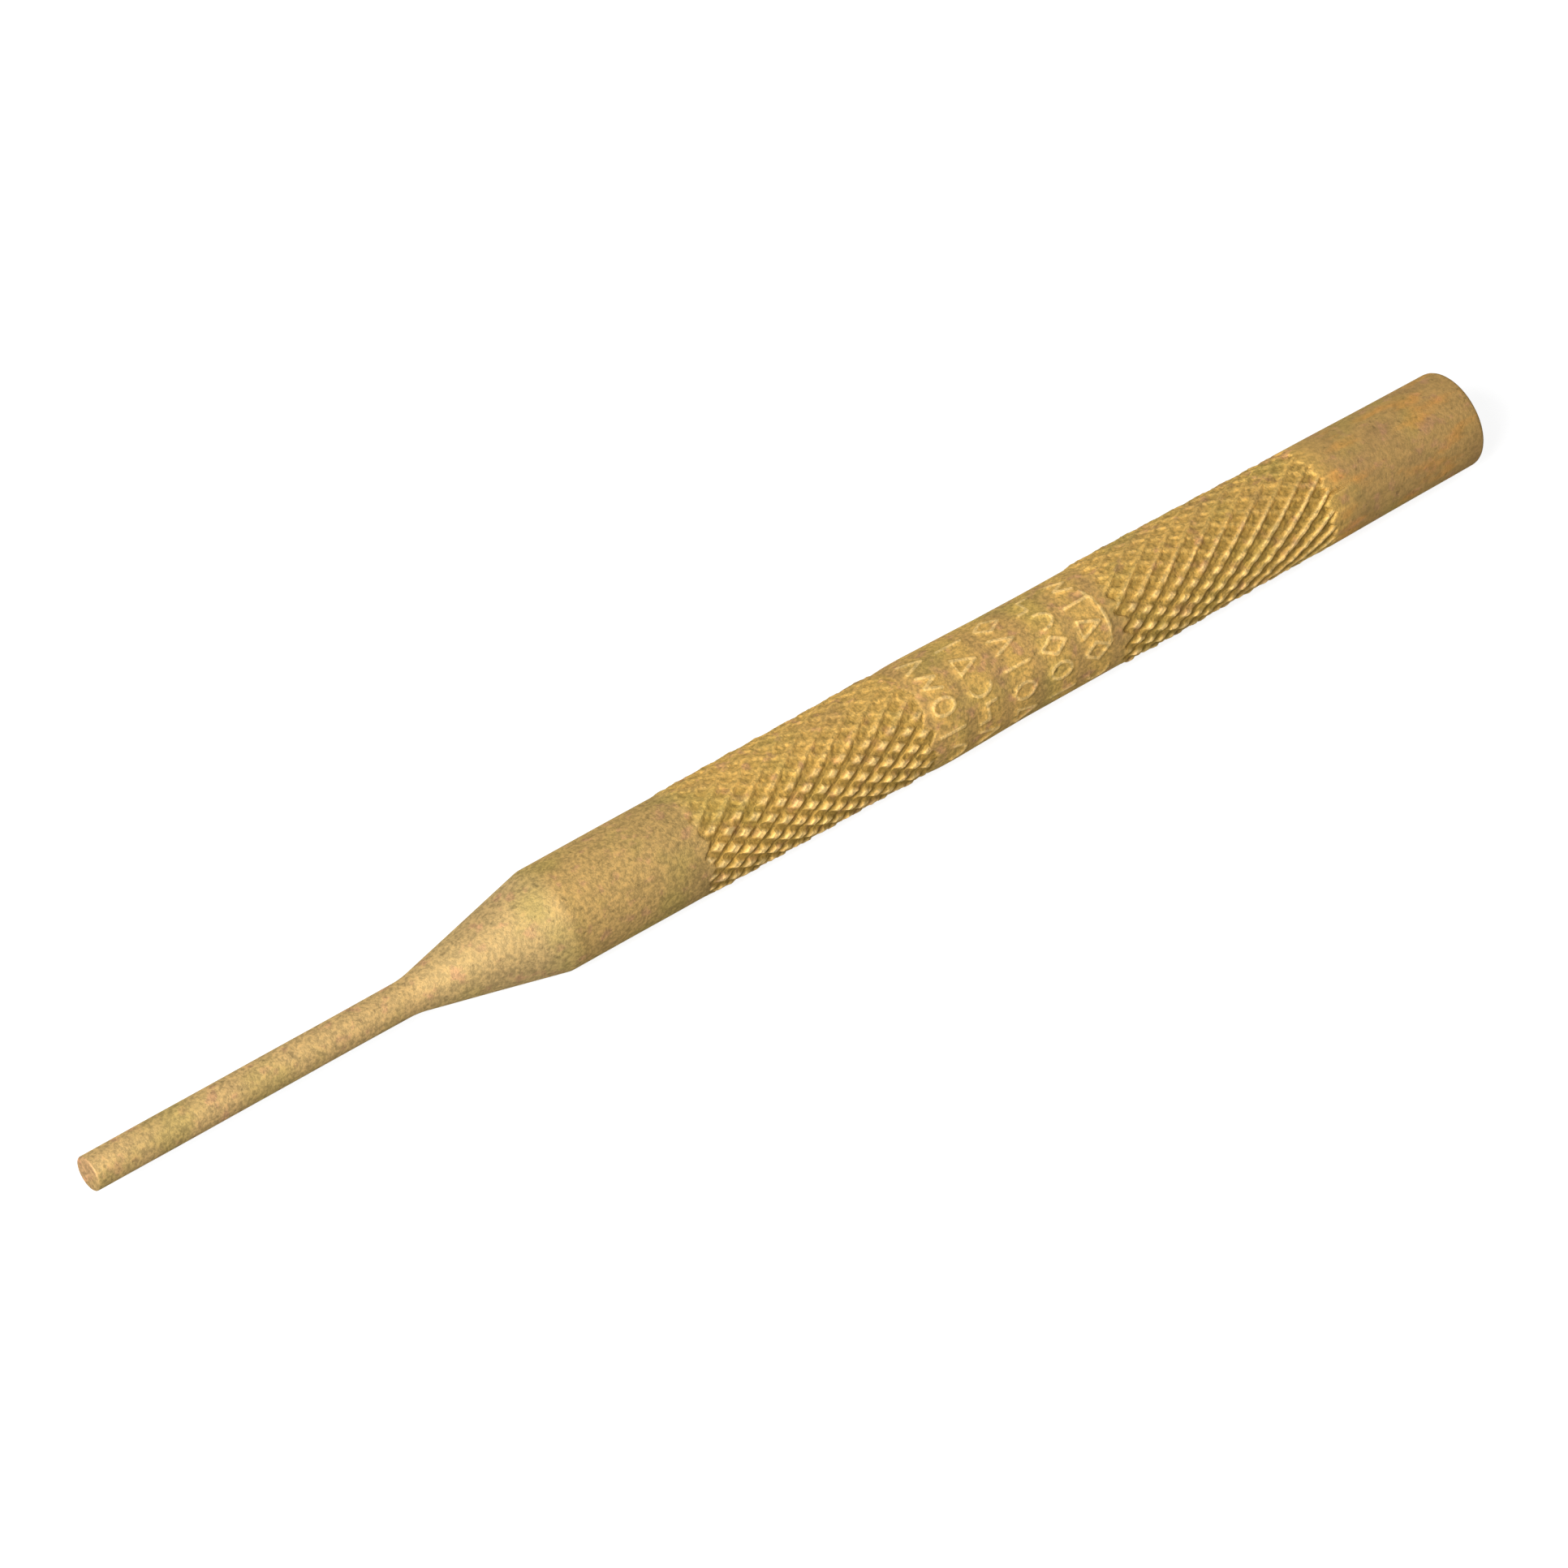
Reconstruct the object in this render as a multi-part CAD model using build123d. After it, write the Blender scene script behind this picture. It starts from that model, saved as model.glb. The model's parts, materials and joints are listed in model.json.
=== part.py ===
from build123d import *
import math
import os

# Drive pin punch: one solid bar of brass, turned, knurled and marked, lying on its side.
# X is the tool's own axis, from the driving tip to the struck head.
# The origin is the centre of the tip's flat face, from which all lengths are measured.

# Nominal sizes, which are inch fractions on this kind of tool.
inch = 25.4
overall_length = 4.375 * inch
pin_diameter = 3 / 32 * inch
shank_diameter = 9 / 32 * inch

# Lengths of the turned zones, from the tip to the head. The head takes what is left.
pin_length = 24.35
cone_length = 10.6
front_shank_length = 10.55
front_knurl_length = 17.8
marked_band_length = 16.5
rear_knurl_length = 18.15

# Rolling a knurl raises its crests a little above the plain bar, with a slope at each end.
front_knurl_rise = 0.10
rear_knurl_rise = 0.12
knurl_slope = 0.6

# The head tapers slightly towards its struck face.
head_end_diameter = 6.84

# Rounded corners of the outline.
tip_edge_radius = 0.12
cone_root_radius = 6.0
cone_shoulder_radius = 1.5
head_edge_radius = 0.45


def rounded_outline():
    """Half outline from the tip's centre to the head's centre, as points (x, radius) with corner radii."""
    pin_r = pin_diameter / 2
    shank_r = shank_diameter / 2
    front_crest_r = shank_r + front_knurl_rise
    rear_crest_r = shank_r + rear_knurl_rise

    cone_root = pin_length
    cone_shoulder = cone_root + cone_length
    front_knurl_start = cone_shoulder + front_shank_length
    front_knurl_end = front_knurl_start + front_knurl_length
    rear_knurl_start = front_knurl_end + marked_band_length
    rear_knurl_end = rear_knurl_start + rear_knurl_length

    corners = [
        (0, 0, 0),
        (0, pin_r, tip_edge_radius),
        (cone_root, pin_r, cone_root_radius),
        (cone_shoulder, shank_r, cone_shoulder_radius),
        (front_knurl_start, shank_r, 0),
        (front_knurl_start + knurl_slope, front_crest_r, 0),
        (front_knurl_end - knurl_slope, front_crest_r, 0),
        (front_knurl_end, shank_r, 0),
        (rear_knurl_start, shank_r, 0),
        (rear_knurl_start + knurl_slope, rear_crest_r, 0),
        (rear_knurl_end - knurl_slope, rear_crest_r, 0),
        (rear_knurl_end, shank_r, 0),
        (overall_length, head_end_diameter / 2, head_edge_radius),
        (overall_length, 0, 0),
    ]
    points = [(x, radius) for x, radius, _ in corners]
    corner_radii = [corner for _, _, corner in corners[1:-1]]
    return points, corner_radii


def make_punch():
    """The whole tool: its outline turned about its own axis."""
    points, corner_radii = rounded_outline()
    with BuildPart() as turned:
        with BuildSketch(Plane.XZ):
            with BuildLine():
                FilletPolyline(*points, radius=corner_radii)
                Line(points[-1], points[0])
            make_face()
        revolve(axis=Axis.X)
    return turned.part


pin_punch = make_punch()
pin_punch.label = "pin_punch"

# Stretches that stay truly cylindrical once the corners are rounded, for the mounts.
cone_half_angle = math.atan((shank_diameter - pin_diameter) / 2 / cone_length)
root_tangent = cone_root_radius * math.tan(cone_half_angle / 2)
shoulder_tangent = cone_shoulder_radius * math.tan(cone_half_angle / 2)
print("straight pin", pin_length - tip_edge_radius - root_tangent, "mm")
print("straight front shank", front_shank_length - shoulder_tangent, "mm")
print("cone half angle", math.degrees(cone_half_angle), "degrees")
print("volume", pin_punch.volume, "mm3, valid", pin_punch.is_valid)
print("box", pin_punch.bounding_box())

os.makedirs("parts", exist_ok=True)
export_step(pin_punch, "parts/pin_punch.step")
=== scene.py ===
# %% [markdown]
# # A solid brass drive pin punch
#
# A drive pin punch pushes a pin out of its hole: the slim straight end goes into the hole and a hammer
# strikes the other end. This one is a single bar of brass, so that it doesn't mark steel parts. It has a
# straight pin, a cone, a short plain shank, a grip with two knurled zones and a marked band between
# them, and a plain head.
#
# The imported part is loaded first. It is the fixed frame: it lies along X with the centre of its tip at
# the origin, and every length here is in metres.

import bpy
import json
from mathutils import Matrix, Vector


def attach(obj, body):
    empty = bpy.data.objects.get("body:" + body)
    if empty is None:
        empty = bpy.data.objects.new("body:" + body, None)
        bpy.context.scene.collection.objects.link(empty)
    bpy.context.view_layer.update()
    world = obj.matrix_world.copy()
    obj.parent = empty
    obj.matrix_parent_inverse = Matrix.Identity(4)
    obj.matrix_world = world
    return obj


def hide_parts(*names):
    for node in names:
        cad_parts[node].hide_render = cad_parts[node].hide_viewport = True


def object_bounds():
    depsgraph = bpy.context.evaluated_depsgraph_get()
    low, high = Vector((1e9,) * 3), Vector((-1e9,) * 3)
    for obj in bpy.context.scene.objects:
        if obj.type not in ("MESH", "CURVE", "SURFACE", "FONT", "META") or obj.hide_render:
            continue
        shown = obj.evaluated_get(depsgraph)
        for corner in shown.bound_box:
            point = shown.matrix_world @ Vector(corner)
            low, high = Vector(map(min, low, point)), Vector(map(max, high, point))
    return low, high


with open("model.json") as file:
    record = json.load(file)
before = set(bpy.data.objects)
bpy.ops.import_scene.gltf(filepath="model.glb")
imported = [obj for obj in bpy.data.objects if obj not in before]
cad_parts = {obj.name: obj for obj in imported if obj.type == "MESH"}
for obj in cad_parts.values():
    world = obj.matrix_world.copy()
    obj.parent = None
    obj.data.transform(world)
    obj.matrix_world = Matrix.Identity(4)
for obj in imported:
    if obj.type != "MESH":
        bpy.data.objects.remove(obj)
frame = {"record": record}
cad_low, cad_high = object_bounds()
print("CAD box", tuple(cad_low), tuple(cad_high))

# %% [markdown]
# The rest of the script needs Blender's own module, numpy for surfaces worked out as whole arrays, and
# two small modules of Python.

# %% Modules and units
import json
import math

import bpy
import numpy as np
from mathutils import Vector

MM = 0.001
TURN = 2 * math.pi

# %% [markdown]
# ## Sizes
#
# The radii come from the part's own mounts: the drive pin and the front shank are cylinders that have
# to fit a hole. The lengths of the turned zones follow each other from the tip, and the head takes what
# is left of the bar.

# %% Sizes of the bar
mounts = {mount["name"]: mount for mount in frame["record"]["mounts"]}
pin_radius = mounts["drive_pin"]["dims"]["r_mm"] * MM
shank_radius = mounts["front_shank"]["dims"]["r_mm"] * MM
bar_length = cad_high.x - cad_low.x
head_start_radius = 0.99 * shank_radius
head_end_radius = 0.958 * shank_radius

cone_start = 24.35 * MM
cone_end = cone_start + 10.6 * MM
front_knurl_start = cone_end + 10.55 * MM
front_knurl_end = front_knurl_start + 17.8 * MM
rear_knurl_start = front_knurl_end + 16.5 * MM
rear_knurl_end = rear_knurl_start + 18.15 * MM
print("pin radius", pin_radius / MM, "shank radius", shank_radius / MM, "mm")
print("head length", (bar_length - rear_knurl_end) / MM, "mm")

# %% [markdown]
# ## The camera
#
# The tool is looked at from in front, above and a little towards its tip, through a long lens, as small
# tools usually are. A long lens far away keeps both ends of the tool at almost the same scale. Two
# angles and a distance from the point that it looks at place the camera, so the view is easy to turn.

# %% Camera
look_azimuth = math.radians(-38.43)
look_elevation = math.radians(44.33)
look_distance = 0.528
look_at = np.array([54.26, 0.18, 0.14]) * MM


def direction(azimuth, elevation):
    """Unit vector towards a camera or lamp.

    Azimuth turns it from the front towards +X and elevation lifts it: its level part is the cosine of
    the elevation, split into the sine of the azimuth along X and less its cosine along Y.
    """
    level = math.cos(elevation)
    return np.array([math.sin(azimuth) * level, -math.cos(azimuth) * level, math.sin(elevation)])


def aim(thing, place, target):
    """Puts a camera or lamp at a place, with its -Z axis towards the target and its top up."""
    thing.location = place
    thing.rotation_euler = Vector(np.subtract(target, place)).to_track_quat("-Z", "Y").to_euler()


def add_to_scene(name, data):
    """A new object that holds this data, linked to the scene."""
    thing = bpy.data.objects.new(name, data)
    bpy.context.scene.collection.objects.link(thing)
    return thing


lens = bpy.data.cameras.new("long_lens")
lens.lens = 190
lens.sensor_width = 36
lens.clip_start, lens.clip_end = 0.01, 10
camera = add_to_scene("camera", lens)
aim(camera, look_at + look_distance * direction(look_azimuth, look_elevation), look_at)
bpy.context.scene.camera = camera
bpy.context.scene.view_settings.view_transform = "Standard"
print("camera at", tuple(round(value, 4) for value in camera.location))

# %% [markdown]
# ## The outline of the bar
#
# A turned bar is its outline spun about its axis. The outline is a chain of straight runs with a small
# round at each corner: a lathe tool's nose leaves the round at the root of the cone, and wear leaves
# the ones on the cone's shoulder and at both ends. Bezier curves could draw it, but runs and arcs that
# are worked out keep every radius exact and let each zone have the row spacing that its detail needs.

# %% Outline points
tip_edge = 0.12 * MM
cone_root_round = 6.0 * MM
shoulder_round = 1.5 * MM
head_edge = 0.45 * MM

knurl_rows = 14
knurl_pitch = 2.07 * MM
fine_step = knurl_pitch / knurl_rows
band_step = 0.19 * MM
plain_step = 2.0 * MM
face_step = 1.0 * MM

outline_corners = [
    (0, 0, 0, face_step),
    (0, pin_radius, tip_edge, plain_step),
    (cone_start, pin_radius, cone_root_round, plain_step),
    (cone_end, shank_radius, shoulder_round, plain_step),
    (front_knurl_start - 0.3 * MM, shank_radius, 0, fine_step),
    (front_knurl_end + 0.6 * MM, shank_radius, 0, band_step),
    (rear_knurl_start - 0.3 * MM, shank_radius, 0, fine_step),
    (rear_knurl_end + 0.1 * MM, head_start_radius, 0, plain_step),
    (bar_length, head_end_radius, head_edge, face_step),
    (bar_length, 0, 0, 0),
]


def rounded_profile(corners, arc_rows=6):
    """Runs and arcs through corners (x, radius, corner radius, row step of the next run).

    Each arc starts and ends one tangent length from its corner, which is the corner radius times the
    tangent of half the turn. On the arc, a point is the centre, less the inward normal times the radius
    and the cosine of the angle turned, plus the incoming direction times the radius and its sine.
    """
    points = np.array([corner[:2] for corner in corners], float)
    pieces = [points[:1]]
    for index in range(1, len(corners) - 1):
        into = points[index] - points[index - 1]
        into /= np.linalg.norm(into)
        out = points[index + 1] - points[index]
        out /= np.linalg.norm(out)
        side = np.sign(into[0] * out[1] - into[1] * out[0])
        inward = side * np.array([-into[1], into[0]])
        radius = corners[index][2]
        turn = math.acos(min(1.0, float(into @ out)))
        if radius:
            centre = points[index] - into * radius * math.tan(turn / 2) + inward * radius
            swept = np.linspace(0, turn, arc_rows)[:, None]
            arc = centre - inward * radius * np.cos(swept) + into * radius * np.sin(swept)
        else:
            arc = points[index : index + 1]
        pieces += [run_between(pieces[-1][-1], arc[0], corners[index - 1][3]), arc]
    pieces += [run_between(pieces[-1][-1], points[-1], corners[-2][3]), points[-1:]]
    return np.concatenate(pieces)


def run_between(start, end, step):
    """Points between two ends, evenly spaced and no further apart than the step, without the ends."""
    count = max(1, math.ceil(np.linalg.norm(end - start) / step))
    share = np.arange(1, count)[:, None] / count
    return start + (end - start) * share


outline = rounded_profile(outline_corners)
print("rows along the outline", len(outline))

# %% [markdown]
# ## The knurl
#
# A diamond knurl is rolled into the bar by two toothed wheels whose teeth slant opposite ways. Each
# wheel leaves a family of V grooves that wind round the bar like a screw with many starts, and the
# crests between them rise a little above the bar. A boolean with dozens of twisted cutters would be
# slow and fragile. A groove family is easy as a formula instead: the number of starts times the share
# of a turn round the bar, plus the distance along it divided by the knurl's pitch, is a whole number
# exactly at the bottom of a groove. The other hand takes the distance away instead of adding it.
#
# No real knurl is even. Where the wheels press hard, the two families cut the surface into separate
# pads. Where they press less, their crests stand as a net of thin ridges. Slow random drift bends the
# grooves a little and makes both ends of the knurl ragged.

# %% Ramps and drift
def ramp(value, low, high):
    """Smooth step: 0 below low, 1 above high, and three t squared less two t cubed between them."""
    share = np.clip((value - low) / (high - low), 0, 1)
    return share * share * (3 - 2 * share)


def drift(x, angle, wavelength, seed, around_most=3, waves=7):
    """Smooth random field from about -1 to 1.

    It is a sum of cosine waves of random direction and phase, over the square root of how many there
    are. Each has a whole number of waves round the bar, so that the field joins up with itself.
    """
    rng = np.random.default_rng(seed)
    total = np.zeros(np.broadcast(x, angle).shape)
    for _ in range(waves):
        along = rng.uniform(-1, 1) * TURN / wavelength
        around = rng.integers(-around_most, around_most + 1)
        total += np.cos(along * x + around * angle + rng.uniform(0, TURN))
    return total / math.sqrt(waves)


# %% Knurl as a height over the bar
knurl_starts = 18
deep_side = math.radians(105)
knurl_fade = 0.25 * MM
knurl_ragged = 0.25 * MM
slow_drift = 20 * MM


def groove(turns, half_width, floor_share):
    """A groove at each whole number of turns.

    It is 1 on the flat floor, whose share of the half width is given, then falls straight to 0 at the
    half width.
    """
    distance = np.abs(turns - np.round(turns))
    return np.clip((half_width - distance) / ((1 - floor_share) * half_width), 0, 1)


def knurl(x, angle, start, end, openings, seed):
    """Rolled knurl between two places on the bar: (window, crest height share).

    Each family's crest is one less its groove. Pads are the lower of the two crests, and the net is the
    higher of the two, with the second family a lower one except on the far side. The share of net runs
    from one value at the start to another at the end, and grows away from the deep side. Grooves in the
    net are wider and have wider floors. The window is 0 off the knurl and 1 on it.
    """
    share = np.clip((x - start) / (end - start), 0, 1)
    away = 0.5 - 0.5 * np.cos(angle - deep_side)
    opening = openings[0] + (openings[1] - openings[0]) * share
    opening = np.clip(opening + 0.8 * ramp(away, 0.15, 0.5), 0, 1)
    half_width = 0.34 + 0.09 * opening
    wander = 0.05 * drift(x, angle, slow_drift, seed)
    around = knurl_starts * angle / TURN
    floor_share = 0.25 + 0.3 * opening
    first = 1 - groove(around + x / knurl_pitch + wander, half_width, floor_share)
    second = 1 - groove(around - x / knurl_pitch - wander, half_width, floor_share)
    pads = np.minimum(first, 0.15 + 0.85 * second)
    net = np.maximum(first, (0.45 + 0.5 * ramp(away, 0.5, 0.9)) * second)
    ragged = knurl_ragged * drift(0 * x, angle, slow_drift, seed + 1, 18)
    begun = ramp(x, start + ragged, start + ragged + knurl_fade)
    not_over = ramp(-x, ragged - end, ragged - end + knurl_fade)
    return begun * not_over, pads + (net - pads) * opening


print("knurl grooves of each hand", knurl_starts, "and rows of vertices for one pitch", knurl_rows)

# %% [markdown]
# ## The marked band
#
# Punches carry small raised marks between the knurls, left by a roller with sunk shapes. Here they are
# plain geometric shapes made of straight strokes. Text objects and booleans would need far more
# vertices than the bar can spend, so each shape is a distance instead: a point of the surface is on a
# stroke when its distance to the stroke's centre line is under half the stroke's width. The marks stand
# in rings of five, and a short arc of the roller's rim shows behind the last ring.

# %% Marks as strokes
mark_height = 2.0 * MM
mark_spacing = 1.75 * MM
stroke_width = 0.3 * MM


def arc_points(start, end, width, height, count=9):
    """Points on an ellipse between two angles in degrees, each at its angle's cosine and sine."""
    turned = np.radians(np.linspace(start, end, count))
    return np.stack([width * np.cos(turned), height * np.sin(turned)], axis=-1)


SHAPES = {
    "ring": arc_points(0, 360, 0.27, 0.42, 13),
    "bow": arc_points(-90, 90, 0.3, 0.42),
    "dome": arc_points(0, 180, 0.3, 0.5),
    "lozenge": [(0, 0.5), (0.3, 0), (0, -0.5), (-0.3, 0), (0, 0.5)],
    "peak": [(-0.28, -0.42), (0, 0.42), (0.28, -0.42)],
    "bar": [(0, -0.5), (0, 0.5)],
    "delta": [(-0.3, -0.4), (0.3, -0.4), (0, 0.42), (-0.3, -0.4)],
    "step": [(-0.28, 0.4), (-0.28, 0), (0.28, 0), (0.28, -0.4)],
    "wave": [(-0.33, -0.3), (-0.11, 0.3), (0.11, -0.3), (0.33, 0.3)],
}
mark_rows = [
    (65.1 * MM, ["peak", "wave", "ring", "bar", "dome"]),
    (68.1 * MM, ["bar", "delta", "bow", "step", "peak"]),
    (71.25 * MM, ["lozenge", "peak", "bar", "ring", "delta"]),
    (74.3 * MM, ["step", "dome", "lozenge", "ring", "bar"]),
    (77.3 * MM, ["wave", "bar", "delta", "lozenge", "bow"]),
]
marks_middle = math.radians(45)
rim_line = np.array([(-2.4, -0.35), (-1.5, 0), (-0.5, 0.15), (0.6, 0.15), (1.6, 0)]) * MM
rim_place = 78.5 * MM
print("marks", sum(len(names) for _, names in mark_rows), "in", len(mark_rows), "rings")

# %% Height of the marks
def stroke_distance(right, up, points, size):
    """Distance from each surface point to a chain of straight strokes.

    For one stroke it is the distance to the stroke's start plus the nearest share of the stroke, where
    that share is the projection onto the stroke, kept between 0 and 1.
    """
    nearest = np.full(np.broadcast(right, up).shape, np.inf)
    chain = np.asarray(points) * size
    for start, end in zip(chain[:-1], chain[1:]):
        run = end - start
        share = np.clip(((right - start[0]) * run[0] + (up - start[1]) * run[1]) / (run @ run), 0, 1)
        gap = np.hypot(right - start[0] - share * run[0], up - start[1] - share * run[1])
        nearest = np.minimum(nearest, gap)
    return nearest


def around_from(angle, middle):
    """Distance round the shank from a middle angle, from minus half the way round to plus half."""
    return ((angle - middle + math.pi) % TURN - math.pi) * shank_radius


def marks(x, angle):
    """Height share of all the marks: a smooth step down over the edge of every stroke."""
    nearest = stroke_distance(around_from(angle, marks_middle), x - rim_place, rim_line, 1)
    for row_x, names in mark_rows:
        first = -(len(names) - 1) / 2
        for number, name in enumerate(names):
            middle = marks_middle + (first + number) * mark_spacing / shank_radius
            gap = stroke_distance(around_from(angle, middle), x - row_x, SHAPES[name], mark_height)
            nearest = np.minimum(nearest, gap)
    return 1 - ramp(nearest, 0.3 * stroke_width, 0.75 * stroke_width)


# %% [markdown]
# ## Relief on the grip
#
# Rolling pushes metal up as well as down, so the bar swells a little under the knurls and between them.
# The outline stays a plain bar, and the relief is one sum over a grid of places on it: the swelling, the
# grooves, the chipped crests and the raised marks. The share of each part is kept apart, because the
# brass needs it later for the painted shade in its hollows and for its brighter crests, which are partly
# rubbed metal and partly painted highlight.

# %% Grid and knurls
columns = knurl_starts * knurl_rows
angles = np.arange(columns) * TURN / columns
grid_x, grid_angle = np.meshgrid(outline[1:-1, 0], angles, indexing="ij")

front_knurl_last = front_knurl_end + 0.4 * MM
rear_knurl_first = rear_knurl_start - 0.2 * MM
front_window, front_crest = knurl(grid_x, grid_angle, front_knurl_start, front_knurl_last, (0, 0.15), 3)
rear_window, rear_crest = knurl(grid_x, grid_angle, rear_knurl_first, rear_knurl_end, (0.2, 0.9), 11)
knurl_window = np.maximum(front_window, rear_window)
crest = np.where(front_window > 0, front_crest, rear_crest)
print("share of the grid under a knurl", round(float((knurl_window > 0.5).mean()), 2))

# %% [markdown]
# The depth of the grooves isn't even either. It is least on one side, where the bar was hardly pressed,
# and the front knurl's grooves run in and out gently at its ends.

# %% Relief over the grid
swelling_places_and_rises = [
    (front_knurl_start, 0),
    (front_knurl_start + 0.8 * MM, 0.10 * MM),
    (front_knurl_end - 4 * MM, 0.10 * MM),
    (front_knurl_end - 1.5 * MM, 0.14 * MM),
    (front_knurl_end - 0.4 * MM, 0.13 * MM),
    (front_knurl_end + 0.2 * MM, 0.06 * MM),
    (front_knurl_end + 1.3 * MM, 0.13 * MM),
    (front_knurl_end + 2.5 * MM, 0.14 * MM),
    (front_knurl_end + 8.5 * MM, 0),
    (rear_knurl_start - 0.2 * MM, 0),
    (rear_knurl_start + 0.5 * MM, 0.12 * MM),
    (rear_knurl_start + 5 * MM, 0.13 * MM),
    (rear_knurl_end - 6 * MM, 0.04 * MM),
    (rear_knurl_end, 0),
]
swelling = np.interp(grid_x, *np.array(swelling_places_and_rises).T)

deepest_groove = 0.27 * MM
mark_rise = 0.1 * MM
chip_height, chip_length = 0.018 * MM, 0.5 * MM
shallow_side = math.radians(-30)
in_front = grid_x < rear_knurl_start - MM
shallowest = np.where(in_front, 0.42, 0.45)
bite = 1 - (1 - shallowest) * ramp(np.cos(grid_angle - shallow_side), 0.1, 1.0)
run_in = 0.5 + 0.5 * ramp(grid_x, front_knurl_start + 0.2 * MM, front_knurl_start + 1.2 * MM)
run_out = 1 - 0.6 * ramp(grid_x, front_knurl_end - 0.8 * MM, front_knurl_end) * in_front
groove_depth = deepest_groove * bite * run_in * run_out
chipped = chip_height * drift(grid_x, grid_angle, chip_length, 31, 60, 16)

mark_share = marks(grid_x, grid_angle) * (1 - knurl_window)
relief = swelling + knurl_window * (chipped - groove_depth * (1 - crest)) + mark_rise * mark_share
print("relief from", round(relief.min() / MM, 3), "to", round(relief.max() / MM, 3), "mm")

# %% [markdown]
# ## One closed skin
#
# The whole punch is one surface of two parameters: the row along the outline and the angle round the
# bar. Each cell of the grid is split along the diagonal whose two corners are nearest in height, because
# that diagonal follows the bottom of a groove or the edge of a crest and keeps it crisp. One vertex
# closes each end. Knurl facets stay flat, because smooth shading would round them off like soap.

# %% Grid to mesh
wave_height, wave_length = 0.008 * MM, 9 * MM
behind_tip = (outline[1:-1, 0] > tip_edge)[:, None]
unevenness = wave_height * drift(grid_x, grid_angle, wave_length, 21) * behind_tip
radius = outline[1:-1, 1][:, None] + relief + unevenness


def punch_vertices():
    """Every point of the grid, then the middle of each end.

    X is the distance along the bar. Y is less the radius times the sine of the angle, and Z is the
    radius times its cosine.
    """
    around = np.stack([grid_x, -radius * np.sin(grid_angle), radius * np.cos(grid_angle)], axis=-1)
    ends = [[0, 0, 0], [bar_length, 0, 0]]
    return np.concatenate([around.reshape(-1, 3), ends])


def punch_triangles():
    """Two triangles for each cell of the grid and a fan at each end, all turned to face outwards."""
    rows = len(radius)
    index = np.arange(rows * columns).reshape(rows, columns)
    here, beside = index[:-1], np.roll(index[:-1], -1, axis=1)
    ahead, across = index[1:], np.roll(index[1:], -1, axis=1)
    height = radius.ravel()
    straight = np.abs(height[here] - height[across]) <= np.abs(height[beside] - height[ahead])
    first = np.stack([here, beside, np.where(straight, across, ahead)], axis=-1)
    second = np.stack([np.where(straight, here, beside), across, ahead], axis=-1)
    tip_pole, head_pole = rows * columns, rows * columns + 1
    tip_fan = np.stack([np.full(columns, tip_pole), np.roll(index[0], -1), index[0]], axis=-1)
    head_fan = np.stack([np.full(columns, head_pole), index[-1], np.roll(index[-1], -1)], axis=-1)
    return np.concatenate([first.reshape(-1, 3), second.reshape(-1, 3), tip_fan, head_fan])


triangles = punch_triangles()
punch_mesh = bpy.data.meshes.new("punch")
punch_mesh.from_pydata(punch_vertices().tolist(), [], triangles.tolist())
print("triangles", len(triangles))

# %% [markdown]
# The mesh keeps three numbers for each vertex, which the brass reads: how deep it lies in a groove, how
# proud it stands on a crest or a mark, and how much it belongs to the bare metal between rings of marks.

# %% Numbers kept in the mesh, and the piece
ring_spacing = 3.07 * MM
# how much of the brighter crest colour the marks take: partly rubbed metal, partly painted highlight
mark_shine = 0.88


def per_vertex(values):
    """One number for each vertex of the mesh: the grid's values, then 0 for both end vertices."""
    return np.append(values.ravel(), [0, 0]).astype(np.float32)


def store(mesh, name, values):
    """Keeps the values in the mesh under this name."""
    layer = mesh.attributes.new(name, "FLOAT", "POINT")
    layer.data.foreach_set("value", per_vertex(values))


def smooth_faces():
    """True for each triangle off the knurl, where all its corners' window is under a half."""
    return per_vertex(knurl_window)[triangles].max(axis=1) < 0.5


on_band = ramp(grid_x, front_knurl_end - MM, front_knurl_end) * (grid_x < rear_knurl_start)
between_rings = 0.5 - 0.5 * np.cos((grid_x - mark_rows[0][0]) * TURN / ring_spacing)
marked_side = ramp(np.cos(grid_angle - marks_middle), -0.1, 0.6)
bare = on_band * (1 - knurl_window) * (1 - mark_share) * between_rings**2 * marked_side

punch_mesh.polygons.foreach_set("use_smooth", smooth_faces())
# sunk sets the painted shade in the groove hollows, deeper where the grooves bite deeper
store(punch_mesh, "sunk", knurl_window * (1 - crest) * bite)
# proud sets the brighter crests and marks, partly rubbed metal and partly painted highlight
store(punch_mesh, "proud", np.maximum(mark_shine * mark_share, knurl_window * crest * bite))
store(punch_mesh, "bare_band", bare)
punch = add_to_scene("punch", punch_mesh)
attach(punch, "root")
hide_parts("pin_punch")
print("numbers kept in the mesh", [layer.name for layer in punch_mesh.attributes])

# %% [markdown]
# ## Shader sums in Python
#
# A material is easier to read as a formula than as a tangle of nodes. The class below wraps one output
# of a node. Adding or multiplying two of them adds a Math node, and one method makes every other node.

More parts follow.
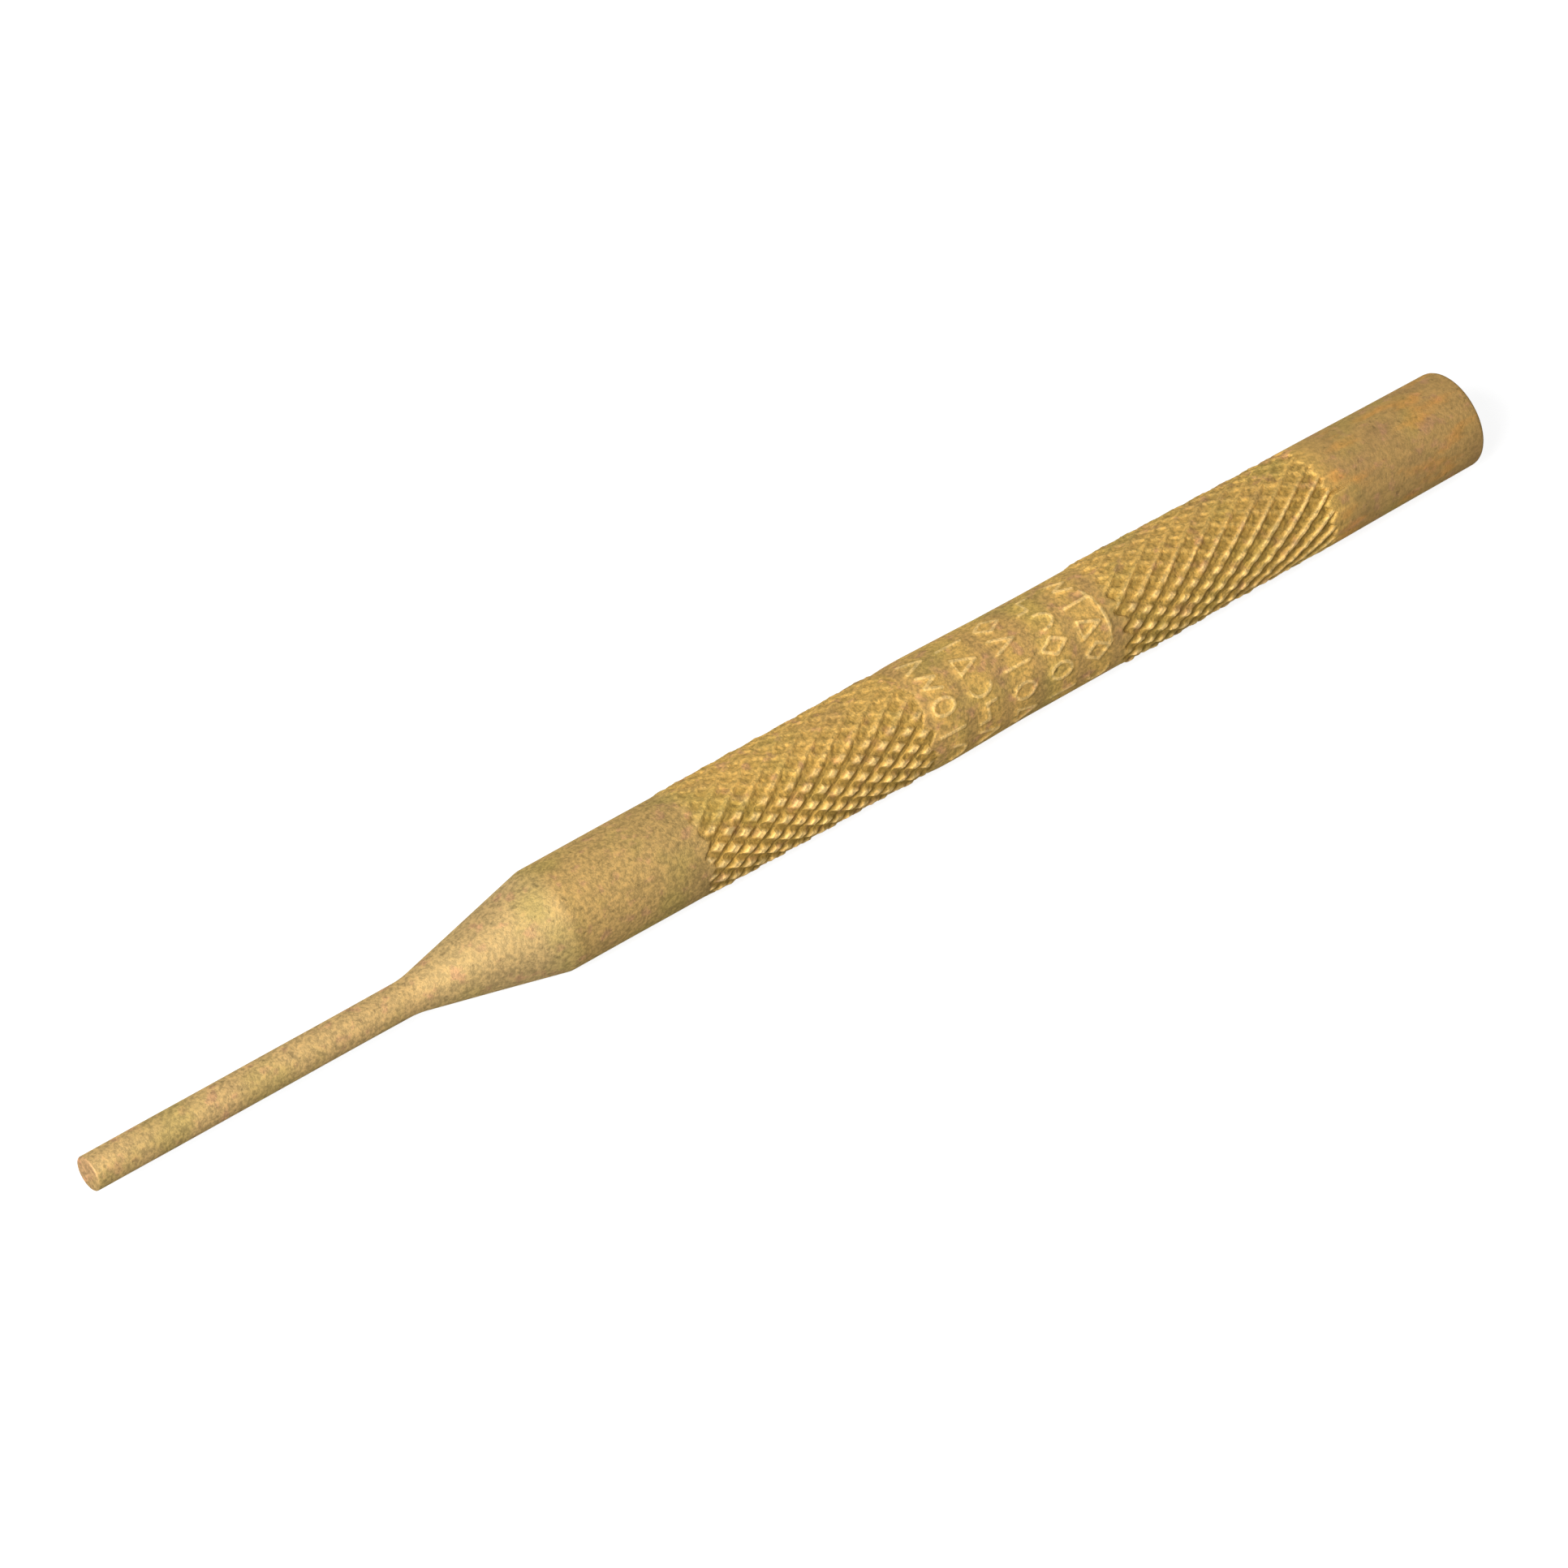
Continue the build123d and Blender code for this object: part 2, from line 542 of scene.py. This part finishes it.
# %% Shader class
class Shade:
    """One output of a shader node. Sums, differences and products add Math nodes to its tree."""

    def __init__(self, tree, output=None):
        self.tree = tree
        self.output = output

    def node(self, kind, settings=None, inputs=None, out=0):
        """Adds a node: first its settings, with a ramp's stops as (place, colour), then its inputs."""
        made = self.tree.nodes.new(kind)
        for name, value in (settings or {}).items():
            if name == "stops":
                for number, (place, colour) in enumerate(value):
                    stops = made.color_ramp.elements
                    stop = stops[number] if number < len(stops) else stops.new(place)
                    stop.position, stop.color = place, colour
            else:
                setattr(made, name, value)
        for name, value in (inputs or {}).items():
            if isinstance(value, Shade):
                self.tree.links.new(value.output, made.inputs[name])
            else:
                made.inputs[name].default_value = value
        return Shade(self.tree, made.outputs[out]) if made.outputs else None

    def math(self, operation, first, second):
        """One Math node on two values or outputs."""
        return self.node("ShaderNodeMath", {"operation": operation}, {0: first, 1: second})

    def __add__(self, other):
        return self.math("ADD", self, other)

    def __sub__(self, other):
        return self.math("SUBTRACT", self, other)

    def __mul__(self, other):
        return self.math("MULTIPLY", self, other)

    def __radd__(self, other):
        return self.math("ADD", other, self)

    def __rsub__(self, other):
        return self.math("SUBTRACT", other, self)

    def __rmul__(self, other):
        return self.math("MULTIPLY", other, self)

    def step(self, low, high):
        """Smooth step of this value from 0 at low to 1 at high."""
        inputs = {"Value": self, "From Min": low, "From Max": high}
        return self.node("ShaderNodeMapRange", {"interpolation_type": "SMOOTHSTEP"}, inputs)

    def mix(self, share, other):
        """This colour where share is 0 and the other where it is 1."""
        return self.node("ShaderNodeMix", {"data_type": "RGBA"}, {0: share, 6: self, 7: other}, out=2)

    def tint(self, colour):
        """This colour multiplied by another one."""
        settings = {"data_type": "RGBA", "blend_type": "MULTIPLY"}
        return self.node("ShaderNodeMix", settings, {0: 1.0, 6: self, 7: colour}, out=2)


def new_material(name):
    """An empty material and the start of its node tree."""
    material = bpy.data.materials.new(name)
    material.use_nodes = True
    material.node_tree.nodes.clear()
    return material, Shade(material.node_tree)


# %% [markdown]
# ## Unpolished brass
#
# Brass straight from rolling and pickling is satin, not shiny: its surface is a fine grain that
# scatters the light. Each zone has its own brass. The cone was turned last and is palest, the grip is
# golden, and the head is brown from handling. Stains of a few millimetres lie over that, copper-red,
# brown and olive. Then the numbers kept in the mesh darken the hollows with painted shade and brighten
# the crests and marks, partly as rubbed metal and partly as painted highlight. Last comes the grain,
# which also lifts the surface a little. An image wrapped round the bar could give the same, but noise
# on the object's own coordinates has no seam and stays sharp at any size.

# %% Brass colours
HEAD_BRASS = (0.50, 0.335, 0.13, 1)
BAND_BRASS = (0.62, 0.425, 0.135, 1)
SHANK_BRASS = (0.53, 0.37, 0.145, 1)
CONE_BRASS = (0.53, 0.39, 0.18, 1)
PIN_BRASS = (0.56, 0.405, 0.185, 1)
COPPER_STAIN = (0.56, 0.31, 0.19, 1)
ORANGE_STAIN = (0.70, 0.36, 0.09, 1)
BROWN_STAIN = (0.38, 0.24, 0.12, 1)
OLIVE_STAIN = (0.42, 0.36, 0.10, 1)
# painted shade for the bottoms of the knurl grooves
PAINTED_GROOVE_SHADE = (0.27, 0.16, 0.018, 1)
# brighter crests and marks: partly rubbed metal, partly painted highlight
CREST_WEAR_AND_HIGHLIGHT = (0.92, 0.71, 0.34, 1)
EDGE_TINT = (0.85, 0.7, 0.45, 1)

zone_stops = [
    (0.0, PIN_BRASS),
    (cone_start / bar_length, PIN_BRASS),
    (cone_start / bar_length + 0.02, CONE_BRASS),
    (cone_end / bar_length - 0.01, CONE_BRASS),
    (cone_end / bar_length + 0.005, SHANK_BRASS),
    (front_knurl_start / bar_length, SHANK_BRASS),
    (front_knurl_start / bar_length + 0.01, BAND_BRASS),
    (rear_knurl_end / bar_length, BAND_BRASS),
    (rear_knurl_end / bar_length + 0.02, HEAD_BRASS),
]
print("zones of colour", [round(place * bar_length / MM, 1) for place, _ in zone_stops])

# %% Noise and kept numbers
def cloud(start, place, size, detail=2, roughness=0.5):
    """Noise from 0 to 1 whose lumps are about this size."""
    inputs = {"Vector": place, "Scale": 1 / size, "Detail": detail, "Roughness": roughness}
    return start.node("ShaderNodeTexNoise", {}, inputs)


def layer_value(start, name):
    """A number that the mesh keeps for each vertex."""
    settings = {"attribute_type": "GEOMETRY", "attribute_name": name}
    return start.node("ShaderNodeAttribute", settings, out="Fac")


# %% [markdown]
# Stretched noise gives marks with a direction. Slow along the bar it gives the streaks that a hand
# leaves on the head, and slow round the bar it gives the rings that a lathe tool leaves on the shank.

# %% Brass material
def satin_brass():
    """Brass for the whole punch, driven by the place on the bar and by the relief kept in the mesh."""
    material, start = new_material("satin_brass")
    place = start.node("ShaderNodeTexCoord", out="Object")
    along = start.node("ShaderNodeSeparateXYZ", inputs={0: place}, out="X")
    lengthwise = start.node("ShaderNodeMapping", inputs={"Vector": place, "Scale": (0.35, 1, 1)})
    ringwise = start.node("ShaderNodeMapping", inputs={"Vector": place, "Scale": (1, 0.06, 0.06)})

    sunk = layer_value(start, "sunk")
    proud = layer_value(start, "proud")
    bare_band = layer_value(start, "bare_band")
    golden = along.step(front_knurl_start - 0.6 * MM, front_knurl_start + 0.4 * MM)
    on_head = along.step(rear_knurl_end - 0.5 * MM, rear_knurl_end + MM)
    near_knurl = along.step(front_knurl_start - 5 * MM, front_knurl_start) * (1 - golden)
    tip_face = 1 - along.step(0.02 * MM, 0.15 * MM)

    stains = cloud(start, place, 3.5 * MM, detail=3).step(0.5, 0.7)
    copper = cloud(start, place, 1.1 * MM).step(0.55, 0.7)
    olive = cloud(start, place, 4 * MM).step(0.48, 0.7)
    grain = cloud(start, place, 0.3 * MM, detail=3, roughness=0.75).step(0.32, 0.68)
    mottle = cloud(start, place, 0.8 * MM)
    pits = cloud(start, place, 0.45 * MM, detail=1).step(0.67, 0.74)
    handling = cloud(start, lengthwise, 1.6 * MM, detail=3).step(0.5, 0.68)
    turning = cloud(start, ringwise, 0.13 * MM, detail=3).step(0.25, 0.75)

    colour = start.node("ShaderNodeValToRGB", {"stops": zone_stops}, {0: along * (1 / bar_length)})
    colour = colour.mix(stains * (0.12 + golden * 0.22) + bare_band * 0.4, BROWN_STAIN)
    colour = colour.mix(copper * 0.45 + tip_face * 0.35, COPPER_STAIN)
    colour = colour.mix(handling * on_head * 0.5, ORANGE_STAIN)
    colour = colour.mix(olive * 0.35, OLIVE_STAIN)
    # painted shade: the groove hollows are darkened by how deep they lie
    colour = colour.mix(sunk.step(0.2, 0.8) * 0.5, PAINTED_GROOVE_SHADE)
    # crests and marks brighter: partly rubbed metal, partly painted highlight
    colour = colour.mix(proud.step(0.5, 1.0) * 0.55, CREST_WEAR_AND_HIGHLIGHT)
    shade = 0.64 + grain * (0.42 - on_head * 0.22) + on_head * 0.11 + mottle * 0.32
    shade = shade * (1 - pits * 0.22) * (1 - turning * near_knurl * 0.2)
    grey = start.node("ShaderNodeCombineColor", inputs={0: shade, 1: shade, 2: shade})
    colour = colour.tint(grey)

    height = grain + 0.8 * mottle - 0.5 * pits + turning * near_knurl * 0.3
    inputs = {"Height": height, "Strength": 0.5, "Distance": 0.03 * MM}
    normal = start.node("ShaderNodeBump", inputs=inputs)
    inputs = {
        "Base Color": colour,
        "Metallic": 1.0,
        "Specular Tint": EDGE_TINT,
        "Roughness": 0.74 + 0.1 * grain,
        "Normal": normal,
    }
    surface = start.node("ShaderNodeBsdfPrincipled", inputs=inputs)
    start.node("ShaderNodeOutputMaterial", inputs={"Surface": surface})
    return material


punch_mesh.materials.append(satin_brass())
print("brass nodes", len(punch_mesh.materials[0].node_tree.nodes))

# %% [markdown]
# ## Floor and light
#
# A small metal object shows its surroundings more than its own colour, so the studio matters. The punch
# lies on a plain white floor, which glows a little so that it stays white, and is hidden from the
# punch's own reflections so that it doesn't wash out the underside. One large soft lamp on the tip's
# side lights the cone, which faces it, and leaves the head darker. A weak lamp behind keeps the back
# from going dull, and the plain bright world fills the rest.

# %% Floor
floor_half = 1.5
paper_grey = 0.2
paper_glow = 0.86
floor_mesh = bpy.data.meshes.new("floor")
floor_corners = [(-1, -1), (1, -1), (1, 1), (-1, 1)]
floor_points = [(x * floor_half, y * floor_half, cad_low.z) for x, y in floor_corners]
floor_mesh.from_pydata(floor_points, [], [(0, 1, 2, 3)])
floor = add_to_scene("floor", floor_mesh)

floor_finish, floor_start = new_material("white_paper")
floor_surface = floor_start.node(
    "ShaderNodeBsdfPrincipled",
    inputs={
        "Base Color": (paper_grey, paper_grey, paper_grey, 1),
        "Roughness": 0.8,
        "Specular IOR Level": 0.0,
        "Emission Color": (1, 1, 1, 1),
        "Emission Strength": paper_glow,
    },
)
floor_start.node("ShaderNodeOutputMaterial", inputs={"Surface": floor_surface})
floor_mesh.materials.append(floor_finish)
floor.visible_diffuse = False
floor.visible_glossy = False
print("floor at", round(cad_low.z / MM, 2), "mm")

# %% Lights
world_strength = 0.375
world = bpy.data.worlds.new("studio")
world.use_nodes = True
backdrop = world.node_tree.nodes["Background"]
backdrop.inputs["Color"].default_value = (1, 1, 1, 1)
backdrop.inputs["Strength"].default_value = world_strength
bpy.context.scene.world = world


def soft_lamp(name, azimuth, elevation, distance, size, power):
    """A square lamp of this size, aimed at the middle of the bar from two angles in degrees."""
    lamp = bpy.data.lights.new(name, "AREA")
    lamp.shape = "SQUARE"
    lamp.size = size
    lamp.energy = power
    middle = np.array([bar_length / 2, 0, 0])
    place = middle + distance * direction(math.radians(azimuth), math.radians(elevation))
    aim(add_to_scene(name, lamp), place, middle)
    print(name, power, "W")


soft_lamp("key_lamp", azimuth=-66, elevation=38, distance=0.6, size=0.26, power=7.9)
soft_lamp("back_lamp", azimuth=150, elevation=30, distance=0.6, size=0.4, power=0.3)
